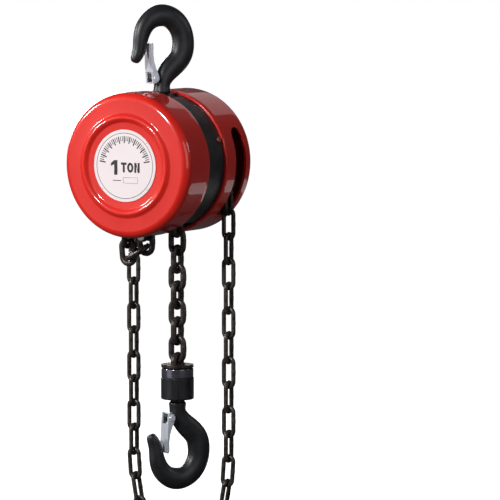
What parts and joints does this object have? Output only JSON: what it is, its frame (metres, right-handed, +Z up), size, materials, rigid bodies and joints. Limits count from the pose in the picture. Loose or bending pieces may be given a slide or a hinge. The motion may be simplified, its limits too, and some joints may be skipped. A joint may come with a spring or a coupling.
{
  "type": "hand chain hoist",
  "caption": "Hand chain hoist: a red round drum housing hung from a latched hook, with a load chain ending in a swivel block and hook, and an endless hand chain.",
  "frame": {"origin": "saddle of the top hook, where the hoist hangs", "axes": "+Z up, Y along the drum's axis with the gear cover and its label facing -Y, +X to the right of the label"},
  "size_m": [0.1444, 0.1332, 0.5766],
  "materials": {
    "red_enamel": "gloss enamel",
    "black_enamel": "satin enamel",
    "black_chain": "satin black finish",
    "hand_chain_steel": "dull black finish",
    "zinc_plate": "bright zinc plating",
    "polished_steel": "turned and polished",
    "steel": "machined",
    "cast_steel": "as cast",
    "bronze": "bearing bronze",
    "copper_plate": "copper plating",
    "friction_lining": "moulded lining",
    "label_film": "printed film"
  },
  "bodies": {
    "top_hook": {"top_hook": "black_enamel", "top_latch_pin": "zinc_plate", "top_latch_spring": "steel", "top_hook_nut": "steel"},
    "top_latch": {"top_latch": "zinc_plate"},
    "top_yoke": {"top_yoke": "black_enamel"},
    "housing": {"front_cover": "red_enamel", "front_cover_screw": "zinc_plate", "rating_label": "label_film", "rear_cover": "red_enamel", "rear_cover_screws": "zinc_plate", "gear_side_plate": "black_enamel", "wheel_side_plate": "black_enamel", "frame_band": "black_enamel", "band_screws": "copper_plate", "stay_bolts": "steel", "stay_nuts": "zinc_plate", "stay_sleeves": "steel", "gear_bearing_plate": "steel", "guide_roller_pins": "steel", "chain_stripper": "cast_steel", "chain_anchor": "black_enamel", "anchor_pin": "steel", "sheave_bearings": "bronze", "pawl_pins": "steel", "pawl_springs": "steel", "load_chain_wrap": "black_chain", "slack_chain": "black_chain", "hand_chain": "hand_chain_steel", "yoke_pin": "steel"},
    "load_sheave": {"load_sheave": "cast_steel", "load_gear": "steel", "gear_circlip": "steel", "shaft_bushes": "bronze"},
    "intermediate_a": {"intermediate_gear_a": "steel", "pinion_shaft_a": "steel"},
    "intermediate_b": {"intermediate_gear_b": "steel", "pinion_shaft_b": "steel"},
    "drive_shaft": {"drive_shaft": "steel", "brake_hub": "steel", "friction_discs": "friction_lining", "hand_wheel": "black_enamel", "wheel_nut": "steel", "split_pin": "zinc_plate"},
    "ratchet": {"ratchet_disc": "steel"},
    "pawl_a": {"pawl_a": "steel"},
    "pawl_b": {"pawl_b": "steel"},
    "guide_roller_a": {"guide_roller_a": "steel"},
    "guide_roller_b": {"guide_roller_b": "steel"},
    "load_line": {"load_chain_run": "black_chain"},
    "swivel_block": {"swivel_cap": "black_enamel", "chain_pin": "polished_steel", "retaining_ring": "polished_steel", "swivel_cup": "black_enamel", "thrust_bearing": "steel"},
    "bottom_hook": {"bottom_hook": "black_enamel", "hook_nut": "steel", "bottom_latch_pin": "zinc_plate", "bottom_latch_spring": "steel"},
    "bottom_latch": {"bottom_latch": "zinc_plate"}
  },
  "joints": [
    {"name": "top_latch_hinge", "type": "hinge", "parent": "top_hook", "child": "top_latch", "pos_m": [-0.00521, -0.00854, -0.0512], "axis": [-0.8536, 0.521, 0], "range_deg": [0, 34], "stiffness_Nm_per_rad": 0.03, "springref_deg": -28.65},
    {"name": "top_hook_swivel", "type": "hinge", "parent": "top_hook", "child": "top_yoke", "pos_m": [0, 0, -0.08], "axis": [0, 0, 1], "continuous": true},
    {"name": "yoke_swing", "type": "hinge", "parent": "top_yoke", "child": "housing", "pos_m": [0, 0, -0.095], "axis": [0, 1, 0], "range_deg": [-8, 8]},
    {"name": "sheave_spin", "type": "hinge", "parent": "housing", "child": "load_sheave", "pos_m": [-0.006, 0, -0.136], "axis": [0, -1, 0], "range_deg": [0, 180], "deforming": ["load_chain_wrap"]},
    {"name": "load_lift", "type": "slide", "parent": "housing", "child": "load_line", "axis": [0, 0, 1], "range_m": [0, 0.07201], "deforming": ["slack_chain"]},
    {"name": "drive_spin", "type": "hinge", "parent": "housing", "child": "drive_shaft", "pos_m": [-0.006, 0, -0.136], "axis": [0, -1, 0], "range_deg": [0, 3085.8], "deforming": ["hand_chain"]},
    {"name": "intermediate_spin_a", "type": "hinge", "parent": "housing", "child": "intermediate_a", "pos_m": [0.01264, 0, -0.10938], "axis": [0, -1, 0], "range_deg": [-600.1, 0]},
    {"name": "intermediate_spin_b", "type": "hinge", "parent": "housing", "child": "intermediate_b", "pos_m": [-0.02464, 0, -0.16262], "axis": [0, -1, 0], "range_deg": [-600.1, 0]},
    {"name": "ratchet_spin", "type": "hinge", "parent": "housing", "child": "ratchet", "pos_m": [-0.006, 0, -0.136], "axis": [0, -1, 0], "continuous": true},
    {"name": "pawl_lift_a", "type": "hinge", "parent": "housing", "child": "pawl_a", "pos_m": [0.018, 0, -0.098], "axis": [0, 1, 0], "range_deg": [0, 12], "stiffness_Nm_per_rad": 0.02, "springref_deg": -22.92},
    {"name": "pawl_lift_b", "type": "hinge", "parent": "housing", "child": "pawl_b", "pos_m": [-0.03, 0, -0.174], "axis": [0, 1, 0], "range_deg": [0, 12], "stiffness_Nm_per_rad": 0.02, "springref_deg": -22.92},
    {"name": "guide_roller_spin_a", "type": "hinge", "parent": "housing", "child": "guide_roller_a", "pos_m": [0.0338, 0, -0.15], "axis": [0, 1, 0], "continuous": true},
    {"name": "guide_roller_spin_b", "type": "hinge", "parent": "housing", "child": "guide_roller_b", "pos_m": [-0.0444, 0, -0.1464], "axis": [0, 1, 0], "continuous": true},
    {"name": "block_swing", "type": "hinge", "parent": "load_line", "child": "swivel_block", "pos_m": [0.01774, 0, -0.34575], "axis": [1, 0, 0], "range_deg": [-5, 5]},
    {"name": "bottom_hook_swivel", "type": "hinge", "parent": "swivel_block", "child": "bottom_hook", "pos_m": [0.01774, 0, -0.372], "axis": [0, 0, 1], "continuous": true},
    {"name": "bottom_latch_hinge", "type": "hinge", "parent": "bottom_hook", "child": "bottom_latch", "pos_m": [0.01253, -0.00854, -0.3908], "axis": [0.8536, -0.521, 0], "range_deg": [0, 34], "stiffness_Nm_per_rad": 0.03, "springref_deg": -28.65}
  ],
  "couplings": [
    {"joint": "load_lift", "follows": "sheave_spin", "m_per_rad": 0.022918},
    {"joint": "intermediate_spin_a", "follows": "sheave_spin", "ratio": -3.3333},
    {"joint": "intermediate_spin_b", "follows": "sheave_spin", "ratio": -3.3333},
    {"joint": "drive_spin", "follows": "sheave_spin", "ratio": 17.143}
  ]
}
